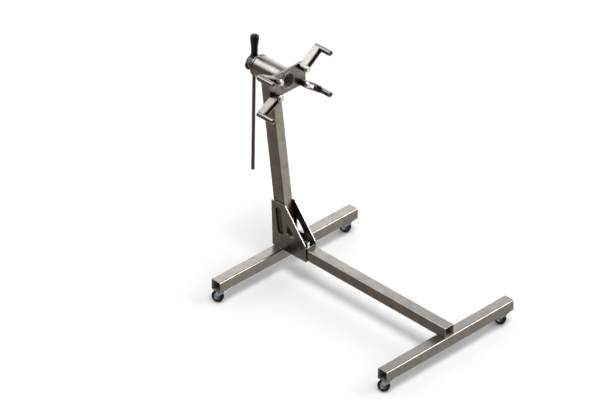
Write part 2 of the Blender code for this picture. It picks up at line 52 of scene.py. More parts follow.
SMALL_STEPS = 48                  # sides of bolts, rods and caster pieces
EDGE_STEPS = 3                    # strips across a softened edge

# Tube and plate sections
TUBE_WALL = 0.004
TUBE_CORNER = 0.006
PLATE_EDGE = 0.0008
PIPE_WALL = 0.0052

# Mast
MAST_DEPTH = 0.060
MAST_LEAN = radians(7.7)

# Turning bar
BAR_TILT = radians(1.3)
GRIP_LENGTH = 0.090

# Fasteners
HEX_FLATS = 0.019
CLAMP_FLATS = 0.017
BOLT_RADIUS = 0.006
THREAD_PITCH = 0.00175
THREAD_DEPTH = 0.0009

# Mounting arms
STRAP_THICKNESS = 0.006
STRAP_WIDTH = 0.0275
STRAP_OVERLAP = 0.004             # the strap's ends stop this far short of the standoff's axis
STANDOFF_BORE = 0.0075

# Casters
FORK_THICKNESS = 0.0026
FORK_HALF_WIDTH = 0.0143
AXLE_BOSS = 0.0080

ARMS = ("upper_right", "upper_left", "lower_left", "lower_right")
CASTERS = ("rear_left", "rear_right", "front_left", "front_right")

TOWARDS_FRONT = Matrix.Rotation(pi / 2, 4, "X")      # turns local +Z into -Y
TOWARDS_REAR = Matrix.Rotation(-pi / 2, 4, "X")      # turns local +Z into +Y
UPRIGHT = Matrix(((0, 0, 1, 0), (1, 0, 0, 0), (0, 1, 0, 0), (0, 0, 0, 1)))


def moved(x, y, z):
    """Placement without rotation."""
    return Matrix.Translation((x, y, z))


def centre_of(node):
    """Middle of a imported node's box."""
    low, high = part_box(node)
    return (low + high) / 2


# ---------------------------------------------------------------- finishes

def add_node(tree, kind, inputs, **settings):
    """Add a shader node; an input takes either a value or another node's output."""
    node = tree.nodes.new("ShaderNode" + kind)
    for name, value in settings.items():
        setattr(node, name, value)
    for name, value in inputs.items():
        if isinstance(value, bpy.types.NodeSocket):
            tree.links.new(value, node.inputs[name])
        else:
            node.inputs[name].default_value = value
    return node


def noise_factor(tree, scale, detail=3.0, roughness=0.55, stretch=(1.0, 1.0, 1.0)):
    """Noise fixed to the piece; scale is in cells per metre."""
    place = add_node(tree, "TexCoord", {}).outputs["Object"]
    mapped = add_node(tree, "Mapping", {"Vector": place, "Scale": stretch}).outputs["Vector"]
    return add_node(tree, "TexNoise", {"Vector": mapped, "Scale": scale, "Detail": detail,
                                       "Roughness": roughness}).outputs["Fac"]


def spread(tree, factor, from_low, from_high, low, high):
    """Stretch part of a factor's range to new limits."""
    return add_node(tree, "MapRange", {"Value": factor, "From Min": from_low, "From Max": from_high,
                                       "To Min": low, "To Max": high}).outputs["Result"]


def blend_colours(tree, factor, first, second):
    """Mix two colours, given as RGB values or sockets."""
    values = [value if isinstance(value, bpy.types.NodeSocket) else (*value, 1.0) for value in (first, second)]
    mix = add_node(tree, "Mix", {}, data_type="RGBA")
    for socket, value in zip((mix.inputs[0], mix.inputs[6], mix.inputs[7]), (factor, *values)):
        if isinstance(value, bpy.types.NodeSocket):
            tree.links.new(value, socket)
        else:
            socket.default_value = value
    return mix.outputs[2]


def edge_wear_and_highlight(tree, reach):
    """1 along outer edges, where the finish is rubbed thin and a painted edge highlight goes, and 0 on open faces."""
    rounded = add_node(tree, "Bevel", {"Radius": reach}, samples=4).outputs["Normal"]
    plain = add_node(tree, "NewGeometry", {}).outputs["Normal"]
    match = add_node(tree, "VectorMath", {0: rounded, 1: plain}, operation="DOT_PRODUCT").outputs["Value"]
    return spread(tree, match, 0.995, 0.88, 0.0, 1.0)


def bumps(tree, layers):
    """Stack of bump layers given as (height, strength, distance)."""
    normal = None
    for height, strength, distance in layers:
        inputs = {"Height": height, "Strength": strength, "Distance": distance}
        if normal is not None:
            inputs["Normal"] = normal
        normal = add_node(tree, "Bump", inputs).outputs["Normal"]
    return normal


def new_material(name, **constants):
    """Material with one Principled shader; constants are set on its own sockets."""
    material = bpy.data.materials.new(name)
    material.use_nodes = True
    shader = material.node_tree.nodes["Principled BSDF"]
    for socket, value in constants.items():
        shader.inputs[socket.replace("_", " ")].default_value = value
    return material, material.node_tree, shader


def connect(tree, shader, colour, roughness, normal):
    """Feed the varying inputs of a shader."""
    tree.links.new(colour, shader.inputs["Base Color"])
    tree.links.new(roughness, shader.inputs["Roughness"])
    tree.links.new(normal, shader.inputs["Normal"])


def painted_crevice_shade(tree, reach):
    """0 deep in gaps and corners, where painted shade darkens the colour, and 1 on open faces."""
    openness = add_node(tree, "AmbientOcclusion", {"Distance": reach}, samples=8).outputs["AO"]
    return spread(tree, openness, 0.15, 0.97, 0.0, 1.0)


def metal(name, dark, light, worn_and_highlit, rough, mottle=22.0, grain=900.0, grain_strength=0.05,
          stretch=(1.0, 1.0, 1.0), crevice_shade_share=0.4, metallic=1.0):
    """Metal with cloudy colour, fine grain, painted shade in its crevices and a painted highlight mixed with wear
    along its edges.
    """
    material, tree, shader = new_material(name, Metallic=metallic)
    clouds = noise_factor(tree, mottle, 4.0, 0.6, stretch)
    specks = spread(tree, noise_factor(tree, mottle * 12, 2.0, 0.5, stretch), 0.3, 0.7, 0.02, 0.23)
    field = add_node(tree, "Math", {0: clouds, 1: 0.75, 2: specks}, operation="MULTIPLY_ADD").outputs[0]
    colour = blend_colours(tree, spread(tree, field, 0.36, 0.68, 0.0, 1.0), dark, light)
    crevice_shade_colour = [crevice_shade_share * value for value in dark]
    # Painted shade: the colour turns to a darker copy where ambient occlusion finds gaps and corners.
    colour = blend_colours(tree, painted_crevice_shade(tree, 0.014), crevice_shade_colour, colour)
    # Painted highlight mixed with wear: outer edges turn towards a much lighter colour.
    edges = spread(tree, edge_wear_and_highlight(tree, 0.0014), 0.0, 1.0, 0.0, 0.7)
    colour = blend_colours(tree, edges, colour, worn_and_highlit)
    roughness = spread(tree, noise_factor(tree, mottle * 2.3, 3.0), 0.3, 0.7, *rough)
    fine = noise_factor(tree, grain, 2.0, 0.6, stretch)
    broad = noise_factor(tree, mottle * 3, 2.0)
    connect(tree, shader, colour, roughness, bumps(tree, [(broad, 0.05, 0.002), (fine, grain_strength, 0.0004)]))
    return material


def make_coat():
    """Warm grey metallic coat over the welded steel."""
    return metal("pewter_coat", (0.098, 0.088, 0.078), (0.134, 0.125, 0.114), (0.38, 0.365, 0.35), (0.24, 0.34))


def make_collar_steel():
    """Turned steel of the collar, a little greenish."""
    return metal("collar_steel", (0.056, 0.060, 0.056), (0.080, 0.085, 0.080), (0.20, 0.21, 0.205), (0.50, 0.60),
                 grain=600.0, grain_strength=0.08)


def make_bar_steel():
    """Dark drawn rod with fine lines along its length."""
    return metal("bar_steel", (0.060, 0.046, 0.042), (0.100, 0.080, 0.074), (0.25, 0.22, 0.2), (0.28, 0.42),
                 mottle=30.0, grain=1400.0, grain_strength=0.10, stretch=(1.0, 1.0, 0.04))


def make_zinc():
    """Bright bluish zinc plate of the casters and the clamping bolt."""
    return metal("bright_zinc", (0.24, 0.30, 0.42), (0.34, 0.41, 0.54), (0.7, 0.75, 0.82), (0.18, 0.30),
                 mottle=120.0, grain=2200.0, grain_strength=0.06)


def make_bolt_steel():
    """Plain bright steel of the arm bolts."""
    return metal("bolt_steel", (0.30, 0.29, 0.275), (0.42, 0.41, 0.395), (0.7, 0.69, 0.67), (0.22, 0.32),
                 mottle=120.0, grain=2200.0, grain_strength=0.06)


def make_arm_coat():
    """The stand's coat on the arms, a little brighter than on the tubes."""
    return metal("arm_coat", (0.090, 0.083, 0.074), (0.112, 0.105, 0.096), (0.40, 0.385, 0.37), (0.25, 0.30),
                 crevice_shade_share=0.12)


def make_bare_steel():
    """Dull uncoated steel inside the tubes and in the pipe's bore."""
    return metal("bare_steel", (0.34, 0.325, 0.300), (0.44, 0.425, 0.40), (0.6, 0.59, 0.57), (0.50, 0.60))


def make_inner_steel():
    """Dull brownish steel inside the square tubes."""
    return metal("inner_steel", (0.15, 0.135, 0.120), (0.23, 0.210, 0.190), (0.4, 0.38, 0.36), (0.45, 0.58),
                 metallic=0.3)


def make_highlit_zinc():
    """Brighter copy of the zinc for the caster races and the clamp bolt; its extra brightness is a painted highlight.
    """
    return metal("highlit_zinc", (0.50, 0.55, 0.63), (0.64, 0.69, 0.76), (0.85, 0.88, 0.92), (0.20, 0.32),
                 mottle=120.0, grain=2200.0, grain_strength=0.06)


def make_mast_shade_steel():
    """Dark steel for the mast's sides between the gussets, a painted shade for the gap seen through the gusset
    openings.
    """
    return metal("mast_shade_steel", (0.034, 0.031, 0.028), (0.050, 0.046, 0.042), (0.1, 0.095, 0.09), (0.35, 0.45))


def make_bronze():
    """Pale turned bronze of the bushing flanges."""
    return metal("bushing_bronze", (0.50, 0.44, 0.34), (0.66, 0.60, 0.48), (0.85, 0.8, 0.7), (0.22, 0.32),
                 mottle=60.0)


def dark_plastic(name, dark, light, rough, mottle, grain, grain_strength, **constants):
    """Rubber or plastic with faint clouds, fine texture and edges scuffed a little lighter."""
    material, tree, shader = new_material(name, Metallic=0.0, **constants)
    level = spread(tree, noise_factor(tree, mottle, 4.0), 0.35, 0.65, 0.0, 1.0)
    colour = blend_colours(tree, level, dark, light)
    scuffs = spread(tree, edge_wear_and_highlight(tree, 0.0010), 0.0, 1.0, 0.0, 0.25)
    colour = blend_colours(tree, scuffs, colour, [4 * value for value in light])
    roughness = spread(tree, noise_factor(tree, mottle * 3, 3.0), 0.3, 0.7, *rough)
    connect(tree, shader, colour, roughness,
            bumps(tree, [(noise_factor(tree, grain, 3.0, 0.65), grain_strength, 0.0003)]))
    return material


def make_finishes():
    """Every finish of the stand by its short name."""
    return {
        "coat": make_coat(),
        "collar": make_collar_steel(),
        "bar": make_bar_steel(),
        "zinc": make_zinc(),
        "bolt": make_bolt_steel(),
        "arm": make_arm_coat(),
        "bare": make_bare_steel(),
        "inner": make_inner_steel(),
        # brighter copy of the zinc, its extra brightness a painted highlight
        "race": make_highlit_zinc(),
        # dark copy of the steel that paints shade on the mast's sides between the gussets
        "mast_shade": make_mast_shade_steel(),
        "bronze": make_bronze(),
        "grip": dark_plastic("black_grip", (0.003, 0.003, 0.003), (0.006, 0.005, 0.005), (0.10, 0.16), 40.0,
                             700.0, 0.03, Specular_IOR_Level=0.12),
        "rubber": dark_plastic("black_rubber", (0.002, 0.003, 0.003), (0.006, 0.007, 0.007), (0.38, 0.52), 70.0,
                               1500.0, 0.12, Specular_IOR_Level=0.06),
        "hub": dark_plastic("wheel_centre", (0.022, 0.030, 0.028), (0.036, 0.046, 0.042), (0.32, 0.45), 70.0,
                            900.0, 0.08),
    }


# ---------------------------------------------------------------- outlines

def circle(radius, steps, centre=(0.0, 0.0)):
    """Counter-clockwise circle outline."""
    return [(centre[0] + radius * cos(2 * pi * i / steps),
             centre[1] + radius * sin(2 * pi * i / steps)) for i in range(steps)]


def arc(radius, start, end, steps, centre=(0.0, 0.0)):
    """Points along an arc, both ends included, angles in degrees."""
    angles = [radians(start + (end - start) * i / steps) for i in range(steps + 1)]
    return [(centre[0] + radius * cos(angle), centre[1] + radius * sin(angle)) for angle in angles]


def rounded_rectangle(width, height, radius, steps=8):
    """Counter-clockwise rectangle outline with rounded corners."""
    x, y = width / 2 - radius, height / 2 - radius
    return (arc(radius, 0, 90, steps, (x, y)) + arc(radius, 90, 180, steps, (-x, y))
            + arc(radius, 180, 270, steps, (-x, -y)) + arc(radius, 270, 360, steps, (x, -y)))


def rounded_slot(start, end, radius, steps=16):
    """Outline of a slot with round ends whose end centres are given."""
    heading = degrees(atan2(end[1] - start[1], end[0] - start[0]))
    return (arc(radius, heading - 90, heading + 90, steps, end)
            + arc(radius, heading + 90, heading + 270, steps, start))


def rounded_polygon(corners, steps=6):
    """Outline through (x, y, radius) corners, each rounded by its radius."""
    outline = []
    for i, (x, y, radius) in enumerate(corners):
        here = Vector((x, y))
        before = (Vector(corners[i - 1][:2]) - here).normalized()
        after = (Vector(corners[(i + 1) % len(corners)][:2]) - here).normalized()
        if not radius:
            outline.append((x, y))
            continue
        half_angle = before.angle(after) / 2
        middle = here + (before + after).normalized() * radius / sin(half_angle)
        first = here + before * radius / tan(half_angle) - middle
        last = here + after * radius / tan(half_angle) - middle
        start = degrees(atan2(first.y, first.x))
        sweep = (degrees(atan2(last.y, last.x)) - start + 180) % 360 - 180
        outline += arc(radius, start, start + sweep, steps, middle)
    return outline


def inset(outline, distance):
    """Counter-clockwise outline moved inwards by a distance."""
    result = []
    for i, point in enumerate(outline):
        here = Vector(point)
        before = (here - Vector(outline[i - 1])).normalized()
        after = (Vector(outline[(i + 1) % len(outline)]) - here).normalized()
        first, second = Vector((-before.y, before.x)), Vector((-after.y, after.x))
        result.append(tuple(here + (first + second) * distance / (1 + first.dot(second))))
    return result


def refined(outline, longest):
    """Outline with its long sides divided, so that it can follow a curved cut."""
    result = []
    for i, point in enumerate(outline):
        start, end = Vector(point), Vector(outline[(i + 1) % len(outline)])
        parts = max(1, ceil((end - start).length / longest))
        result += [tuple(start.lerp(end, k / parts)) for k in range(parts)]
    return result


# ---------------------------------------------------------------- solids

def at_height(outline, z):
    """Lift a flat outline to a height."""
    return [(x, y, z) for x, y in outline]


def skin(solid, rows, ring=False):
    """Faces between matching rows of vertices; a ring joins the last row to the first."""
    pairs = list(zip(rows, rows[1:]))
    if ring:
        pairs.append((rows[-1], rows[0]))
    for lower, upper in pairs:
        steps = max(len(lower), len(upper))
        for i in range(steps):
            j = i + 1
            corners = (lower[i % len(lower)], lower[j % len(lower)],
                       upper[j % len(upper)], upper[i % len(upper)])
            solid.faces.new(list(dict.fromkeys(corners)))


def loft(loops, ring=False):
    """Skin between matching loops, with capped ends unless it is a ring."""
    solid = bmesh.new()
    rows = [[solid.verts.new(point) for point in loop] for loop in loops]
    skin(solid, rows, ring)
    if not ring:
        solid.faces.new(reversed(rows[0]))
        solid.faces.new(rows[-1])
    return solid


def soft_levels(thickness, edge):
    """(inset, height) pairs that round both rims of a piece of this thickness."""
    angles = [pi / 2 * i / EDGE_STEPS for i in range(EDGE_STEPS + 1)]
    quarter = [(edge * (1 - sin(angle)), edge * (1 - cos(angle))) for angle in angles]
    return quarter + [(depth, thickness - height) for depth, height in reversed(quarter)]


def soft_tube(outer, inner, length, edge=0.0005):
    """Tube along +Z between two matching outlines, with softened ends."""
    levels = soft_levels(length, edge)
    outside = [at_height(inset(outer, depth), height) for depth, height in levels]
    inside = [at_height(inset(inner, -depth), height) for depth, height in reversed(levels)]
    return loft(outside + inside, ring=True)


def soft_plate(outline, holes, thickness, edge=PLATE_EDGE):
    """Plate from z = 0 up with softened rims, pierced by counter-clockwise holes."""
    solid = bmesh.new()
    ends = ([], [])
    for loop, sign in [(outline, 1)] + [(hole, -1) for hole in holes]:
        rows = [[solid.verts.new((x, y, height)) for x, y in inset(loop, sign * depth)]
                for depth, height in soft_levels(thickness, edge)]
        skin(solid, rows)
        for end, row in zip(ends, (rows[0], rows[-1])):
            end += [solid.edges.get((row[i - 1], row[i])) for i in range(len(row))]
    for end in ends:
        bmesh.ops.triangle_fill(solid, use_beauty=True, edges=end)
    return solid


def turned(corners, steps=SMOOTH_STEPS):
    """Solid of revolution about Z from (radius, height, rounding) corners.  A section that
    starts and ends on the axis is solid, any other one is a closed ring."""
    profile = rounded_polygon(corners)
    solid = bmesh.new()
    rows = [[solid.verts.new(point) for point in at_height(circle(radius, steps) if radius > 0 else [(0, 0)], z)]
            for radius, z in profile]
    skin(solid, rows, ring=profile[0][0] > 0)
    return solid


def hexagon_radius(flats, angle):
    """Distance from the axis to a hexagon's outline, its corners slightly rounded."""
    return min(flats / 2 / cos((angle % (pi / 3)) - pi / 6), 0.569 * flats)


def hex_loops(flats, height, steps):
    """Loops of a hexagonal body from z = 0 up, with its top rim chamfered at 30 degrees."""
    crown = 0.475 * flats
    angles = [2 * pi * i / steps for i in range(steps)]
    slope = tan(radians(30))
    loops = [at_height(circle(crown, steps), 0), at_height(circle(crown, steps), 0.0004)]
    sides = [(hexagon_radius(flats, angle), angle) for angle in angles]
    loops.append([(radius * cos(angle), radius * sin(angle), 0.0006) for radius, angle in sides])
    loops.append([(radius * cos(angle), radius * sin(angle), height - (radius - crown) * slope)
                  for radius, angle in sides])
    loops.append(at_height(circle(crown, steps), height))
    return loops


def threaded_loops(radius, start, end, steps, pitch=THREAD_PITCH):
    """Loops of a screw thread along Z; the end point is chamfered."""
    per_turn = 6
    count = ceil(abs(end - start) / pitch * per_turn)
    loops = []
    for k in range(count + 1):
        z = start + (end - start) * k / count
        limit = radius - max(0.0, 0.0012 - abs(end - z))
        loop = []
        for i in range(steps):
            phase = (z / pitch - i / steps) % 1.0
            wave = min(radius - THREAD_DEPTH * abs(2 * phase - 1), limit)
            loop.append((wave * cos(2 * pi * i / steps), wave * sin(2 * pi * i / steps), z))
        loops.append(loop)
    return loops


def hex_bolt(flats, head, radius, length, thread):
    """Bolt along +Z whose bearing face is at z = 0; its last stretch is threaded."""
    steps = SMALL_STEPS
    upper = [[(x, -y, -z) for x, y, z in loop] for loop in hex_loops(flats, head, steps)]
    loops = list(reversed(upper)) + [[(x, -y, 0) for x, y in circle(radius, steps)]]
    shank_end = length - thread
    loops.append([(x, -y, shank_end) for x, y in circle(radius, steps)])
    loops += [[(x, -y, z) for x, y, z in loop] for loop in threaded_loops(radius, shank_end, length, steps)]
    return loft(loops)


def hex_nut(flats, thickness, bore):
    """Nut from z = 0 up, its outer rim chamfered."""
    loops = hex_loops(flats, thickness, SMALL_STEPS)
    hole = circle(bore, SMALL_STEPS)
    return loft(loops + [at_height(hole, thickness - 0.0006), at_height(hole, 0.0006)], ring=True)


def washer(radius, bore, thickness):
    """Flat ring from z = 0 up with softened rims."""
    edge = thickness / 4
    return turned([(bore, 0, edge), (radius, 0, edge), (radius, thickness, edge), (bore, thickness, edge)],
                  SMALL_STEPS)


def bead(path, radius, closed=False):
    """Weld bead along a path of points, made of overlapping scales."""
    points = [Vector(point) for point in path]
    if closed:
        points.append(points[0])
    lengths = [0.0]
    for first, second in zip(points, points[1:]):
        lengths.append(lengths[-1] + (second - first).length)
    total, scale = lengths[-1], radius * 1.15
    count = max(4, round(total / (scale / 4)))
    loops, side, k = [], None, 0
    for i in range(count + (0 if closed else 1)):
        along = total * i / count
        while k < len(lengths) - 2 and lengths[k + 1] < along:
            k += 1
        share = (along - lengths[k]) / max(lengths[k + 1] - lengths[k], 1e-9)
        middle = points[k].lerp(points[k + 1], share)
        heading = (points[k + 1] - points[k]).normalized()
        if side is None:
            side = heading.orthogonal().normalized()
        side = (side - heading * side.dot(heading)).normalized()
        other = heading.cross(side)
        ripple = 1 - 0.22 * ((along / scale) % 1.0) ** 2
        swell = 1 + 0.10 * noise.noise(middle * 240)
        taper = 1.0 if closed else min(1.0, sqrt(max(min(along, total - along), 0) / radius + 0.12))
        size = radius * ripple * swell * taper
        loops.append([middle + side * size * cos(2 * pi * j / 12) + other * size * sin(2 * pi * j / 12)
                      for j in range(12)])
    return loft(loops, ring=closed)


# ---------------------------------------------------------------- pieces

def looks_inwards(face):
    """True for a face that looks towards the local Z axis."""
    return face.normal.xy.dot(face.calc_center_median().xy.normalized()) < -0.5


def add_piece(name, solid, surface, body, placement=None, replaces=(), sharp=38.0, inside=None,
              is_inside=looks_inwards):
    """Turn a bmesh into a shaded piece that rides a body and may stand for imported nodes.
    Its inner faces may have a finish of their own."""
    bmesh.ops.recalc_face_normals(solid, faces=solid.faces)
    if inside:
        for face in solid.faces:
            face.material_index = int(is_inside(face))
    mesh = bpy.data.meshes.new(name)
    solid.to_mesh(mesh)
    solid.free()
    mesh.transform(placement or Matrix())
    mesh.materials.append(surface)
    if inside:
        mesh.materials.append(inside)
    mesh.shade_smooth()
    mesh.set_sharp_from_angle(angle=radians(sharp))
    piece = bpy.data.objects.new(name, mesh)
    bpy.context.scene.collection.objects.link(piece)
    even = piece.modifiers.new("even_shading", "WEIGHTED_NORMAL")
    even.keep_sharp = True
    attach(piece, body)
    if replaces:
        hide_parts(*replaces)
    return piece


def add_bead(name, path, radius, body, closed=False):
    """Weld bead in the stand's own coat."""
    return add_piece(name, bead(path, radius, closed), finish["coat"], body, sharp=60.0)


def tube_outlines(width, height):
    """Outer and inner outline of the stand's square or rectangular tube."""
    outer = rounded_rectangle(width, height, TUBE_CORNER)
    inner = rounded_rectangle(width - 2 * TUBE_WALL, height - 2 * TUBE_WALL, TUBE_CORNER - TUBE_WALL)
    return outer, inner


# ---------------------------------------------------------------- base

def build_crossbar(node):
    """Square tube along X with open ends."""
    low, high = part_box(node)
    size = high.z - low.z
    outer, inner = tube_outlines(size, size)
    placement = moved(low.x, (low.y + high.y) / 2, (low.z + high.z) / 2) @ Matrix.Rotation(pi / 2, 4, "Y")
    add_piece(node + "_tube", soft_tube(outer, inner, high.x - low.x), finish["coat"], "base",
              placement, (node,), inside=finish["inner"])


def build_leg():
    """Leg from the front crossbar's front face back into the sleeve, rising slightly."""
    low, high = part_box("base_leg")
    size = high.x - low.x
    outer, inner = tube_outlines(size, size)
    front = Vector(((low.x + high.x) / 2, low.y, low.z + size / 2))
    run, rise = high.y - low.y, high.z - low.z - size
    placement = Matrix.Translation(front) @ Matrix.Rotation(atan2(rise, run), 4, "X") @ TOWARDS_REAR
    add_piece("leg_tube", soft_tube(outer, inner, sqrt(run ** 2 + rise ** 2)), finish["coat"], "base",
              placement, ("base_leg",), inside=finish["inner"])
    bar_low, bar_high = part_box("front_crossbar")
    for side, x in (("left", low.x), ("right", high.x)):
        path = [(x, bar_low.y + TUBE_CORNER, low.z), (x, bar_high.y - TUBE_CORNER / 2, low.z)]
        add_bead("weld_leg_" + side, path, 0.0022, "base")


def gusset_outline():
    """Side plate seen from +X: distance behind the rear crossbar, height above its underside."""
    return rounded_polygon([(-0.1590, 0.0508, 0.002), (0.0325, 0.0503, 0.002), (0.0388, 0.2595, 0.002),
                            (-0.0370, 0.2645, 0.010), (-0.1535, 0.1215, 0.012)])


def gusset_openings():
    """Leaning slot beside the mast, rounded triangle in front of it and a small tab slot."""
    leaning = rounded_slot((-0.0120, 0.1350), (0.0000, 0.2210), 0.0165)
    triangle = rounded_polygon([(-0.0975, 0.1300, 0.007), (-0.0475, 0.1300, 0.007), (-0.0475, 0.1920, 0.006)])
    tab = rounded_slot((-0.1385, 0.1050), (-0.1285, 0.1065), 0.0040)
    return [leaning, triangle, tab]


def build_bracket():
    """Two gussets with the floor and roof of the sleeve between them."""
    bar_low, bar_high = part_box("rear_crossbar")
    middle = (bar_low.y + bar_high.y) / 2
    for node, side in (("left_gusset", -1), ("right_gusset", 1)):
        low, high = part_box(node)
        plate = soft_plate(gusset_outline(), gusset_openings(), high.x - low.x, 0.0010)
        add_piece(node + "_plate", plate, finish["coat"], "base",
                  moved(low.x, middle, bar_low.z) @ UPRIGHT, (node,))
        outer_face = low.x if side < 0 else high.x
        foot = [(outer_face, middle - 0.021, bar_high.z + 0.0006), (outer_face, middle + 0.021, bar_high.z + 0.0006)]
        add_bead("weld_foot_" + node, foot, 0.0020, "base")
    bolt = centre_of("leg_clamp_bolt")
    for node in ("sleeve_floor", "sleeve_roof"):
        low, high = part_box(node)
        outline = [(low.x, low.y), (high.x, low.y), (high.x, high.y), (low.x, high.y)]
        hole = circle(BOLT_RADIUS + 0.0003, SMALL_STEPS, (bolt.x, bolt.y))
        add_piece(node + "_plate", soft_plate(outline, [hole], high.z - low.z), finish["coat"], "base",
                  moved(0, 0, low.z), (node,))


def build_leg_clamp():
    """Bolt, washer and nut that clamp the leg in its sleeve."""
    pointing_down = Matrix.Rotation(pi, 4, "X")
    low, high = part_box("leg_clamp_washer")
    middle = centre_of("leg_clamp_washer")
    add_piece("clamp_washer", washer((high.x - low.x) / 2, BOLT_RADIUS + 0.0003, high.z - low.z), finish["zinc"],
              "base", moved(middle.x, middle.y, low.z), ("leg_clamp_washer",))
    bolt_low, bolt_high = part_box("leg_clamp_bolt")
    head = bolt_high.z - high.z
    # The bolt takes the brighter zinc, whose extra brightness is a painted highlight.
    add_piece("clamp_bolt", hex_bolt(CLAMP_FLATS, head, BOLT_RADIUS, high.z - bolt_low.z, 0.020), finish["race"],
              "base", moved(middle.x, middle.y, high.z) @ pointing_down, ("leg_clamp_bolt",))
    nut_low, nut_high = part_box("leg_clamp_nut")
    add_piece("clamp_nut", hex_nut(CLAMP_FLATS, nut_high.z - nut_low.z, BOLT_RADIUS), finish["zinc"], "base",
              moved(middle.x, middle.y, nut_high.z) @ pointing_down, ("leg_clamp_nut",))


def build_mast():
    """Leaning tube from the sleeve's roof up to its saddle under the head housing."""
    low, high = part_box("mast")
    axis = centre_of("head_housing")
    saddle = (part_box("head_housing")[1].x - axis.x) + 0.0002
    depth = MAST_DEPTH / cos(MAST_LEAN)
    outer, inner = [refined(outline, 0.004) for outline in tube_outlines(high.x - low.x, depth)]
    foot_y = low.y + depth / 2

    gusset_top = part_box("left_gusset")[1].z - 0.008

    def at_level(outline, z):
        """The leaning outline at a height."""
        return [(x + axis.x, y + foot_y + (z - low.z) * tan(MAST_LEAN), z) for x, y in outline]

    def between_gussets(face):
        """True for the part of the sides that the gussets cover."""
        return abs(face.normal.x) > 0.9 and face.calc_center_median().z < gusset_top

    def under_housing(outline):
        """The outline where the leaning tube meets the housing."""
        loop = []
        for x, y in outline:
            z = axis.z - sqrt(saddle ** 2 - x ** 2)
            loop.append((x + axis.x, y + foot_y + (z - low.z) * tan(MAST_LEAN), z))
        return loop

    loops = [at_level(outer, low.z), at_level(outer, gusset_top), under_housing(outer), under_housing(inner),
             at_level(inner, low.z)]
    # The sides between the gussets take the dark painted-shade finish, seen only through the gusset openings.
    add_piece("mast_tube", loft(loops, ring=True), finish["coat"], "base", None, ("mast",),
              inside=finish["mast_shade"], is_inside=between_gussets)
    add_bead("weld_mast_head", under_housing(outer), 0.0024, "base", closed=True)
    front = foot_y - depth / 2
    add_bead("weld_mast_foot", [(low.x + 0.003, front, low.z), (high.x - 0.003, front, low.z)], 0.0020, "base")


# ---------------------------------------------------------------- rotating head

def along_head(node):
    """Start along Y, length and outer radius of a round node on the head's axis."""
    low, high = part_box(node)
    return low.y, high.y - low.y, (high.x - low.x) / 2


def on_axis(y, facing=TOWARDS_REAR):
    """Placement on the head's axis."""
    axis = centre_of("head_housing")
    return moved(axis.x, y, axis.z) @ facing


def build_housing():
    """Fixed housing tube with a flanged bushing in each end."""
    start, length, radius = along_head("head_housing")
    bore = radius - 0.0055
    edge = 0.0008
    add_piece("housing_tube", turned([(bore, 0, edge), (radius, 0, edge), (radius, length, edge),
                                      (bore, length, edge)]), finish["coat"], "base",
              on_axis(start), ("head_housing",))
    pipe = along_head("head_pipe")[2]
    for node, facing in (("front_bushing", TOWARDS_REAR), ("rear_bushing", TOWARDS_FRONT)):
        first, extent, flange = along_head(node)
        thick = 0.0027
        begin = first if facing is TOWARDS_REAR else first + extent
        section = [(pipe + 0.0002, 0, 0.0004), (flange, 0, 0.0006), (flange, thick, 0.0006), (bore - 0.0002, thick, 0),
                   (bore - 0.0002, extent, 0.0004), (pipe + 0.0002, extent, 0.0004)]
        add_piece(node + "_flanged", turned(section), finish["bronze"], "base", on_axis(begin, facing),
                  (node,))


def build_rotating_pipe():
    """Pipe that turns in the bushings, with the mounting plate and the retaining ring."""
    start, length, radius = along_head("head_pipe")
    bore = radius - PIPE_WALL
    add_piece("rotating_pipe", turned([(bore, 0, 0.0007), (radius, 0, 0.0007), (radius, length, 0.0005),
                                       (bore, length, 0.0005)]), finish["coat"], "head",
              on_axis(start), ("head_pipe",), inside=finish["bare"])
    ring_start, thickness, ring = along_head("retaining_ring")
    add_piece("retaining_disc", turned([(0, 0, 0), (ring, 0, 0.0012), (ring, thickness, 0.0012),
                                        (0, thickness, 0)]), finish["coat"], "head",
              on_axis(ring_start), ("retaining_ring",))
    low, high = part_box("head_plate")
    axis = centre_of("head_plate")
    holes = [circle(radius + 0.0002, SMOOTH_STEPS)]
    for name in ARMS:
        bolt = centre_of("arm_washer_" + name)
        holes.append(circle(BOLT_RADIUS + 0.0003, SMALL_STEPS, (bolt.x - axis.x, bolt.z - axis.z)))
    plate = soft_plate(rounded_rectangle(high.x - low.x, high.z - low.z, 0.006), holes, high.y - low.y, 0.0010)
    add_piece("mounting_plate", plate, finish["coat"], "head",
              moved(axis.x, high.y, axis.z) @ TOWARDS_FRONT, ("head_plate",))
    around = [(axis.x + x, low.y, axis.z + z) for x, z in circle(radius + 0.0004, SMOOTH_STEPS)]
    add_bead("weld_plate", around, 0.0018, "head", closed=True)


def boss_solid(boss, hole, top, collar, deep):
    """Boss along +Z that grows out of a round collar lying along X, with a fillet at its foot."""
    fillet, rim = 0.0022, 0.0010
    levels = []
    for k in range(7):
        angle = pi / 2 * k / 6
        levels.append((boss + fillet * (1 - sin(angle)), fillet * (1 - cos(angle)), True))
    for k in range(5):
        angle = pi / 2 * k / 4
        levels.append((boss - rim * (1 - cos(angle)), top - rim * (1 - sin(angle)), False))
    levels += [(hole + 0.0008, top, False), (hole, top - 0.0008, False), (hole, deep, False)]
    loops = [[(x, y, deep) for x, y in circle(boss, SMALL_STEPS)]]
    for radius, height, on_surface in levels:
        loop = []
        for x, y in circle(radius, SMALL_STEPS):
            base = sqrt(collar ** 2 - y ** 2) if on_surface else 0.0
            loop.append((x, y, base + height))
        loops.append(loop)
    return loft(loops, ring=True)


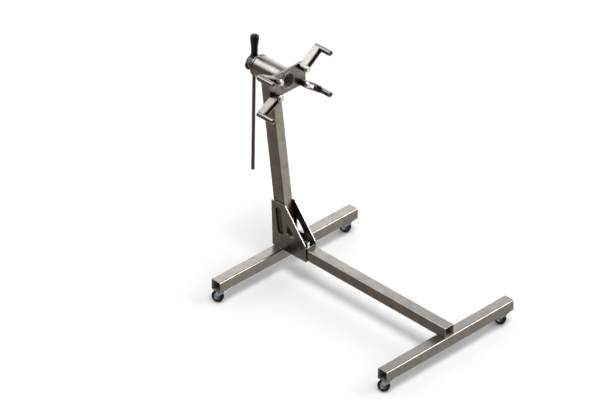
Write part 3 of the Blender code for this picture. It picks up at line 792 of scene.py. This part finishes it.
def build_collar():
    """Short pipe behind the retaining disc with four bosses for the turning bar."""
    low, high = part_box("turning_collar")
    axis = centre_of("head_housing")
    top = high.x - axis.x
    radius, bore, boss, hole = top - 0.006, top - 0.0115, 0.0155, 0.0083
    length = high.y - low.y
    section = [(bore, 0, 0.0005), (radius, 0, 0.0008), (radius, length, 0.003), (bore, length, 0.001)]
    collar = add_piece("collar_tube", turned(section), finish["collar"], "head", on_axis(low.y),
                       ("turning_collar",))
    crossing = centre_of("turning_bar").y
    placements = [moved(axis.x, crossing, axis.z) @ Matrix.Rotation(quarter * pi / 2, 4, "Y") @ UPRIGHT_BOSS
                  for quarter in range(4)]
    for number, placement in enumerate(placements):
        add_piece(f"collar_boss_{number + 1}", boss_solid(boss, hole, top, radius, bore + 0.001),
                  finish["collar"], "head", placement)
    for number, placement in enumerate(placements[:2]):
        drill_through(collar, placement, hole + 0.0004, radius + 0.01)
    around = [(axis.x + x, low.y + 0.0004, axis.z + z) for x, z in circle(radius + 0.0004, SMOOTH_STEPS)]
    add_bead("weld_collar", around, 0.0018, "head", closed=True)


UPRIGHT_BOSS = Matrix.Rotation(pi / 2, 4, "Z")       # the collar's axis is local X of a boss


def drill_through(piece, placement, radius, reach):
    """Cut a round hole along the placement's Z axis right through a piece."""
    mesh = bpy.data.meshes.new("drill")
    solid = loft([at_height(circle(radius, SMALL_STEPS), z) for z in (-reach, reach)])
    bmesh.ops.recalc_face_normals(solid, faces=solid.faces)
    solid.to_mesh(mesh)
    solid.free()
    mesh.transform(placement)
    drill = bpy.data.objects.new("drill", mesh)
    bpy.context.scene.collection.objects.link(drill)
    cut = piece.modifiers.new("cut", "BOOLEAN")
    cut.operation, cut.solver, cut.object = "DIFFERENCE", "EXACT", drill
    piece.modifiers.move(len(piece.modifiers) - 1, 0)
    bpy.context.view_layer.update()
    result = bpy.data.meshes.new_from_object(piece.evaluated_get(bpy.context.evaluated_depsgraph_get()))
    piece.modifiers.remove(cut)
    piece.data = result
    piece.data.set_sharp_from_angle(angle=radians(38))
    bpy.data.objects.remove(drill, do_unlink=True)


def build_turning_bar():
    """Round bar through the collar, with its moulded grip."""
    axis = centre_of("head_housing")
    crossing = centre_of("turning_bar").y
    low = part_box("turning_bar")[0]
    start = (low.z - axis.z) / cos(BAR_TILT)
    boss_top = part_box("turning_collar")[1].z - axis.z
    grip = boss_top + 0.0006
    top = grip + 0.066
    radius = 0.007
    askew = moved(axis.x, crossing, axis.z) @ Matrix.Rotation(BAR_TILT, 4, "Y")
    section = [(0, start, 0), (radius - 0.0022, start, 0.0006), (radius, start + 0.0026, 0.0012), (radius, top, 0),
               (0, top, 0)]
    add_piece("turning_rod", turned(section, SMALL_STEPS), finish["bar"], "handle", askew,
              ("turning_bar",))
    outside = [(0, GRIP_LENGTH, 0), (0.0105, 0.0898, 0.006), (0.0172, 0.0850, 0.003), (0.0181, 0.0740, 0.006),
               (0.0166, 0.0590, 0.04), (0.0138, 0.0350, 0.05), (0.0130, 0.0010, 0.0008), (0.0112, 0, 0.0006)]
    corners = [(r, grip + z, rounding) for r, z, rounding in outside]
    corners += [(radius + 0.0002, grip, 0), (radius + 0.0002, top + 0.0004, 0), (0, top + 0.0004, 0)]
    add_piece("moulded_grip", turned(corners, 64), finish["grip"], "handle", askew, ("bar_grip",),
              sharp=50.0)


# ---------------------------------------------------------------- mounting arms

def strap_outline(reach, seat):
    """Bent strap seen from the front: round end about the bolt, coped ends on the standoff."""
    half = STRAP_WIDTH / 2
    gap = half - STRAP_THICKNESS
    tip = reach - STRAP_OVERLAP
    start = sqrt(seat ** 2 - (reach - tip) ** 2)
    heights = [gap + (start - gap) * i / 5 for i in range(6)]
    cope = [(reach - sqrt(seat ** 2 - height ** 2), height) for height in heights]
    lower_cope = [(x, -y) for x, y in cope]
    return ([(tip, half)] + arc(half, 90, 270, 32) + [(tip, -half)] + lower_cope[::-1]
            + arc(gap, 270, 90, 24) + cope)


def build_arm(name):
    """One slotted arm with its standoff tube, clamping bolt, washer and nut."""
    pivot = centre_of("arm_washer_" + name)
    standoff_low, standoff_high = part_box("standoff_tube_" + name)
    standoff = (standoff_low + standoff_high) / 2
    radius = (standoff_high.x - standoff_low.x) / 2
    strap_low, strap_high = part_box("arm_strap_" + name)
    offset = Vector((standoff.x - pivot.x, standoff.z - pivot.z))
    reach, turn = offset.length, atan2(offset.y, offset.x)
    arm_body, clamp_body = "arm_" + name, "arm_clamp_" + name
    facing = moved(pivot.x, strap_high.y, pivot.z) @ TOWARDS_FRONT @ Matrix.Rotation(turn, 4, "Z")
    depth = strap_high.y - strap_low.y
    add_piece("strap_" + name, soft_plate(strap_outline(reach, radius + 0.0002), [], depth, 0.0010),
              finish["arm"], arm_body, facing, ("arm_strap_" + name,))
    length = standoff_high.y - standoff_low.y
    edge = 0.0008
    add_piece("standoff_" + name, turned([(STANDOFF_BORE, 0, edge), (radius, 0, edge), (radius, length, edge),
                                          (STANDOFF_BORE, length, edge)], SMALL_STEPS), finish["arm"], arm_body,
              facing @ moved(reach, 0, 0), ("standoff_tube_" + name,), inside=finish["bare"])
    seam_y = sqrt(radius ** 2 - STRAP_OVERLAP ** 2)
    for side, label in ((1, "a"), (-1, "b")):
        path = [facing @ Vector((reach - STRAP_OVERLAP + 0.0006, side * (seam_y + 0.0014), z))
                for z in (0.002, depth - 0.002)]
        add_bead(f"weld_arm_{name}_{label}", path, 0.0019, arm_body)

    washer_low, washer_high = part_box("arm_washer_" + name)
    bolt_low, bolt_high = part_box("arm_bolt_" + name)
    nut_low, nut_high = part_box("arm_nut_" + name)
    add_piece("washer_" + name, washer((washer_high.x - washer_low.x) / 2, BOLT_RADIUS + 0.0003,
                                       washer_high.y - washer_low.y), finish["bolt"], clamp_body,
              moved(pivot.x, washer_high.y, pivot.z) @ TOWARDS_FRONT, ("arm_washer_" + name,))
    bearing = washer_low.y
    add_piece("bolt_" + name, hex_bolt(HEX_FLATS, bearing - bolt_low.y, BOLT_RADIUS, bolt_high.y - bearing, 0.030),
              finish["bolt"], clamp_body, moved(pivot.x, bearing, pivot.z) @ TOWARDS_REAR,
              ("arm_bolt_" + name,))
    add_piece("nut_" + name, hex_nut(HEX_FLATS, nut_high.y - nut_low.y, BOLT_RADIUS), finish["bolt"], clamp_body,
              moved(pivot.x, nut_low.y, pivot.z) @ TOWARDS_REAR, ("arm_nut_" + name,))


# ---------------------------------------------------------------- casters

def stamped_fork(trail, axle_z, crown_z):
    """Fork pressed from one sheet: a round crown with a hole, shoulders and a leg each side.
    Local X is the trail, Y the axle and Z up."""
    bend = 0.0050
    half = FORK_HALF_WIDTH
    crown = 0.0208
    path = [(-half, axle_z - AXLE_BOSS + 0.0005)]
    steps = 14
    leg_top = crown_z - bend
    path += [(-half, axle_z - AXLE_BOSS + 0.0005 + (leg_top - axle_z + AXLE_BOSS - 0.0005) * i / steps)
             for i in range(1, steps + 1)]
    path += [(-half + bend - bend * cos(angle), leg_top + bend * sin(angle))
             for angle in (pi / 2 * i / 6 for i in range(1, 7))]
    path += [(-(half - bend) * (1 - i / 4), crown_z) for i in range(1, 5)]
    path += [(-y, z) for y, z in reversed(path[:-1])]
    loops = []
    for i, (y, z) in enumerate(path):
        before, after = Vector(path[max(i - 1, 0)]), Vector(path[min(i + 1, len(path) - 1)])
        along = (after - before).normalized()
        inward = Vector((along.y, -along.x)) * FORK_THICKNESS
        if z > leg_top:
            spread_x = sqrt(crown ** 2 - min(abs(y), half) ** 2)
            front, rear = -spread_x, spread_x
        else:
            share = (z - (axle_z - AXLE_BOSS)) / (leg_top - (axle_z - AXLE_BOSS))
            top_reach = sqrt(crown ** 2 - half ** 2)
            dz = max(-1.0, min(1.0, (z - axle_z) / AXLE_BOSS))
            boss = AXLE_BOSS * sqrt(max(0.0, 1 - dz ** 2)) if z < axle_z else AXLE_BOSS
            narrow = max(0.0, (z - axle_z) / (leg_top - axle_z)) ** 1.6
            front = (trail - boss) * (1 - narrow) + -top_reach * narrow
            rear = (trail + boss) * (1 - narrow) + top_reach * narrow
            if share < 0.02:
                front, rear = trail - 0.002, trail + 0.002
        loops.append([(front, y, z), (rear, y, z), (rear, y + inward.x, z + inward.y),
                      (front, y + inward.x, z + inward.y)])
    return loft(loops)


def build_caster(name, bar):
    """Stem with its ball race, swivelling fork, axle and wheel."""
    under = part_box(bar)[0].z
    stem = centre_of("caster_stem_" + name)
    wheel = centre_of("caster_wheel_" + name)
    stem_low, stem_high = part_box("caster_stem_" + name)
    wheel_low, wheel_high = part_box("caster_wheel_" + name)
    below = moved(stem.x, stem.y, under)
    swivel, roll = "caster_swivel_" + name, "caster_roll_" + name
    top = stem_high.z - under

    race = [(0, -0.0140, 0), (0.0062, -0.0140, 0.0010), (0.0078, -0.0124, 0.0010), (0.0078, -0.0106, 0.0002),
            (0.0060, -0.0106, 0), (0.0060, -0.0068, 0.0003), (0.0182, -0.0068, 0.0006), (0.0228, -0.0056, 0.0012),
            (0.0234, -0.0034, 0.0010), (0.0205, -0.0024, 0.0012), (0.0125, -0.0020, 0.0010), (0.0120, -0.0003, 0.0004),
            (0.0060, -0.0003, 0), (0.0060, top - 0.001, 0), (0.0050, top, 0.0003), (0, top, 0)]
    # The race takes the brighter zinc, whose extra brightness is a painted highlight.
    add_piece("race_" + name, turned(race, SMALL_STEPS), finish["race"], "base", below,
              ("caster_stem_" + name,))
    nut_low, nut_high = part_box("caster_nut_" + name)
    add_piece("stem_nut_" + name, hex_nut(HEX_FLATS, nut_high.z - nut_low.z, 0.006), finish["zinc"], "base",
              moved(stem.x, stem.y, nut_low.z), ("caster_nut_" + name,))

    offset = Vector((wheel.x - stem.x, wheel.y - stem.y))
    heading = below @ Matrix.Rotation(atan2(offset.y, offset.x), 4, "Z")
    axle_z = wheel.z - under
    add_piece("fork_" + name, stamped_fork(offset.length, axle_z, -0.0074), finish["zinc"], swivel,
              heading, ("caster_fork_" + name,))
    axle_line = heading @ moved(offset.length, 0, axle_z) @ TOWARDS_FRONT
    outer = FORK_HALF_WIDTH + 0.0001
    head = hex_bolt(0.0105, 0.0038, 0.0040, 2 * outer + 0.0048, 0.008)
    add_piece("axle_" + name, head, finish["zinc"], swivel, axle_line @ moved(0, 0, -outer),
              ("caster_axle_" + name,))
    add_piece("axle_nut_" + name, hex_nut(0.0105, 0.0034, 0.0040), finish["zinc"], swivel,
              axle_line @ moved(0, 0, outer))

    radius = (wheel_high.z - wheel_low.z) / 2
    half = 0.0100
    tyre = [(0.0185, -half, 0.0006), (0.0232, -half, 0.0016), (radius, -0.0060, 0.0050), (radius, 0.0060, 0.0050),
            (0.0232, half, 0.0016), (0.0185, half, 0.0006), (0.0176, 0.0070, 0.0004), (0.0176, -0.0070, 0.0004)]
    add_piece("tyre_" + name, turned(tyre, SMOOTH_STEPS), finish["rubber"], roll, axle_line,
              ("caster_wheel_" + name,))
    side = [(0.0043, 0.0110, 0.0003), (0.0080, 0.0110, 0.0008), (0.0090, 0.0068, 0.0012), (0.0150, 0.0060, 0.0014),
            (0.0166, 0.0092, 0.0006), (0.0182, 0.0092, 0.0004), (0.0182, 0.0072, 0.0003), (0.0175, 0.0072, 0)]
    section = side + [(r, -z, rounding) for r, z, rounding in reversed(side)]
    add_piece("wheel_centre_" + name, turned(section, SMALL_STEPS), finish["hub"], roll, axle_line)


# ---------------------------------------------------------------- stage

def add_floor():
    """Plain pale floor."""
    mesh = bpy.data.meshes.new("floor")
    solid = bmesh.new()
    bmesh.ops.create_grid(solid, x_segments=8, y_segments=8, size=14.0)
    solid.to_mesh(mesh)
    solid.free()
    material, tree, shader = new_material("pale_floor", Roughness=0.75)
    tint = blend_colours(tree, noise_factor(tree, 0.6, 2.0), FLOOR_DARK, FLOOR_LIGHT)
    tree.links.new(tint, shader.inputs["Base Color"])
    mesh.materials.append(material)
    floor = bpy.data.objects.new("floor", mesh)
    floor.visible_glossy = False
    bpy.context.scene.collection.objects.link(floor)


FLOOR_DARK = (0.79, 0.79, 0.79)
FLOOR_LIGHT = (0.81, 0.81, 0.81)


SKY_ABOVE = 0.35                  # even brightness of the surroundings above the horizon
SKY_BELOW = 0.75                  # and below it, where only reflections reach
COLOUR_ABOVE = (0.98, 1.0, 1.03)
COLOUR_BELOW_FRONT = (1.0, 0.97, 0.92)
COLOUR_BELOW_REAR = (1.0, 0.89, 0.79)
SOFTBOXES = (                     # direction, inner and outer half angle in degrees, brightness
    ((0.62, 0.60, 0.50), 10.0, 24.0, 2.0),
    ((-0.45, 0.60, 0.66), 8.0, 20.0, 7.0),
    ((-0.12, 0.60, 0.79), 6.0, 20.0, 6.5),
    ((0.59, -0.56, 0.58), 20.0, 33.0, 3.0),
    ((0.58, -0.80, -0.15), 12.0, 34.0, 2.0),
)
GLINT = ((0.59, -0.56, 0.58), 12.0, 4.2)
LAMPS = (                         # name, direction, half angle in degrees, strength
    ("overhead_lamp", (-0.18, -0.30, 1.00), 12.0, 2.0),
    ("sky_lamp", (0.0, 0.0, 1.0), 80.0, 1.5),
    ("front_lamp", (0.59, -0.56, 0.58), 22.0, 0.9),
)
PANEL_PLACE = (1.05, 1.45, 1.05)
PANEL_SIZE = (2.4, 0.9)
PANEL_BRIGHTNESS = 2.5


def add_panel():
    """Low light panel close behind the stand on its right; it shows in the tops of the base."""
    light = bpy.data.lights.new("rear_panel", "AREA")
    light.shape = "RECTANGLE"
    light.size, light.size_y = PANEL_SIZE
    light.energy = PANEL_BRIGHTNESS * pi * PANEL_SIZE[0] * PANEL_SIZE[1]
    panel = bpy.data.objects.new("rear_panel", light)
    panel.location = PANEL_PLACE
    panel.rotation_euler = (Vector((0.0, 0.0, 0.1)) - panel.location).to_track_quat("-Z", "Y").to_euler()
    panel.visible_diffuse = False
    bpy.context.scene.collection.objects.link(panel)


def add_lamp(name, direction, half_angle, strength):
    """Far soft lamp that shines from a direction."""
    light = bpy.data.lights.new(name, "SUN")
    light.angle = radians(2 * half_angle)
    light.energy = strength
    lamp = bpy.data.objects.new(name, light)
    lamp.rotation_euler = Vector(direction).to_track_quat("Z", "Y").to_euler()
    bpy.context.scene.collection.objects.link(lamp)
    return lamp


def add_lamps():
    """Lamps that light the floor and the dull pieces, and one that only glints on rounded edges."""
    for name, direction, half_angle, strength in LAMPS:
        add_lamp(name, direction, half_angle, strength).visible_glossy = False
    add_lamp("edge_lamp", *GLINT).visible_diffuse = False


def add_world():
    """Pale surroundings with far, soft-edged studio lights."""
    world = bpy.data.worlds.new("studio")
    world.use_nodes = True
    tree = world.node_tree
    direction = add_node(tree, "TexCoord", {}).outputs["Generated"]
    parts = add_node(tree, "SeparateXYZ", {0: direction}).outputs
    height = parts["Z"]
    total = spread(tree, height, -0.35, 0.0, SKY_BELOW, SKY_ABOVE)
    for axis, inner, outer, brightness in SOFTBOXES:
        facing = add_node(tree, "VectorMath", {0: direction, 1: Vector(axis).normalized()},
                          operation="DOT_PRODUCT").outputs["Value"]
        glow = add_node(tree, "MapRange", {"Value": facing, "From Min": cos(radians(outer)),
                                           "From Max": cos(radians(inner)), "To Min": 0.0,
                                           "To Max": brightness}, interpolation_type="SMOOTHSTEP")
        total = add_node(tree, "Math", {0: glow.outputs["Result"], 1: total}, operation="ADD").outputs[0]
    background = tree.nodes["Background"]
    below = blend_colours(tree, spread(tree, parts["Y"], -0.2, 0.2, 0.0, 1.0), COLOUR_BELOW_FRONT,
                          COLOUR_BELOW_REAR)
    tint = blend_colours(tree, spread(tree, height, -0.2, 0.1, 0.0, 1.0), below, COLOUR_ABOVE)
    tree.links.new(tint, background.inputs["Color"])
    tree.links.new(total, background.inputs["Strength"])
    world.cycles_visibility.diffuse = False
    bpy.context.scene.world = world


def add_camera():
    """Long lens from the front left, about 33 degrees above the floor."""
    azimuth, elevation = radians(-44.60654446), radians(33.02029405)
    distance, aside, above = 19.1649, 0.055105, 0.21264
    back = Vector((sin(azimuth) * cos(elevation), -cos(azimuth) * cos(elevation), sin(elevation)))
    right = Vector((cos(azimuth), sin(azimuth), 0.0))
    up = back.cross(right)
    rear_bar = centre_of("rear_crossbar")
    looked_at = Vector((AIM_X, rear_bar.y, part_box("rear_crossbar")[0].z))
    camera = bpy.data.cameras.new("camera")
    camera.sensor_width = 36.0
    camera.lens = 287.07
    camera.clip_end = 200.0
    viewer = bpy.data.objects.new("camera", camera)
    viewer.location = looked_at + back * distance + right * aside + up * above
    viewer.rotation_euler = Matrix((right, up, back)).transposed().to_euler()
    bpy.context.scene.collection.objects.link(viewer)
    bpy.context.scene.camera = viewer


AIM_X = 0.0038

finish = make_finishes()
for bar in ("rear_crossbar", "front_crossbar"):
    build_crossbar(bar)
build_leg()
build_bracket()
build_leg_clamp()
build_mast()
build_housing()
build_rotating_pipe()
build_collar()
build_turning_bar()
for arm in ARMS:
    build_arm(arm)
for caster in CASTERS:
    build_caster(caster, caster.split("_")[0] + "_crossbar")

add_floor()
add_world()
add_panel()
add_lamps()
add_camera()
bpy.context.scene.view_settings.view_transform = "Standard"
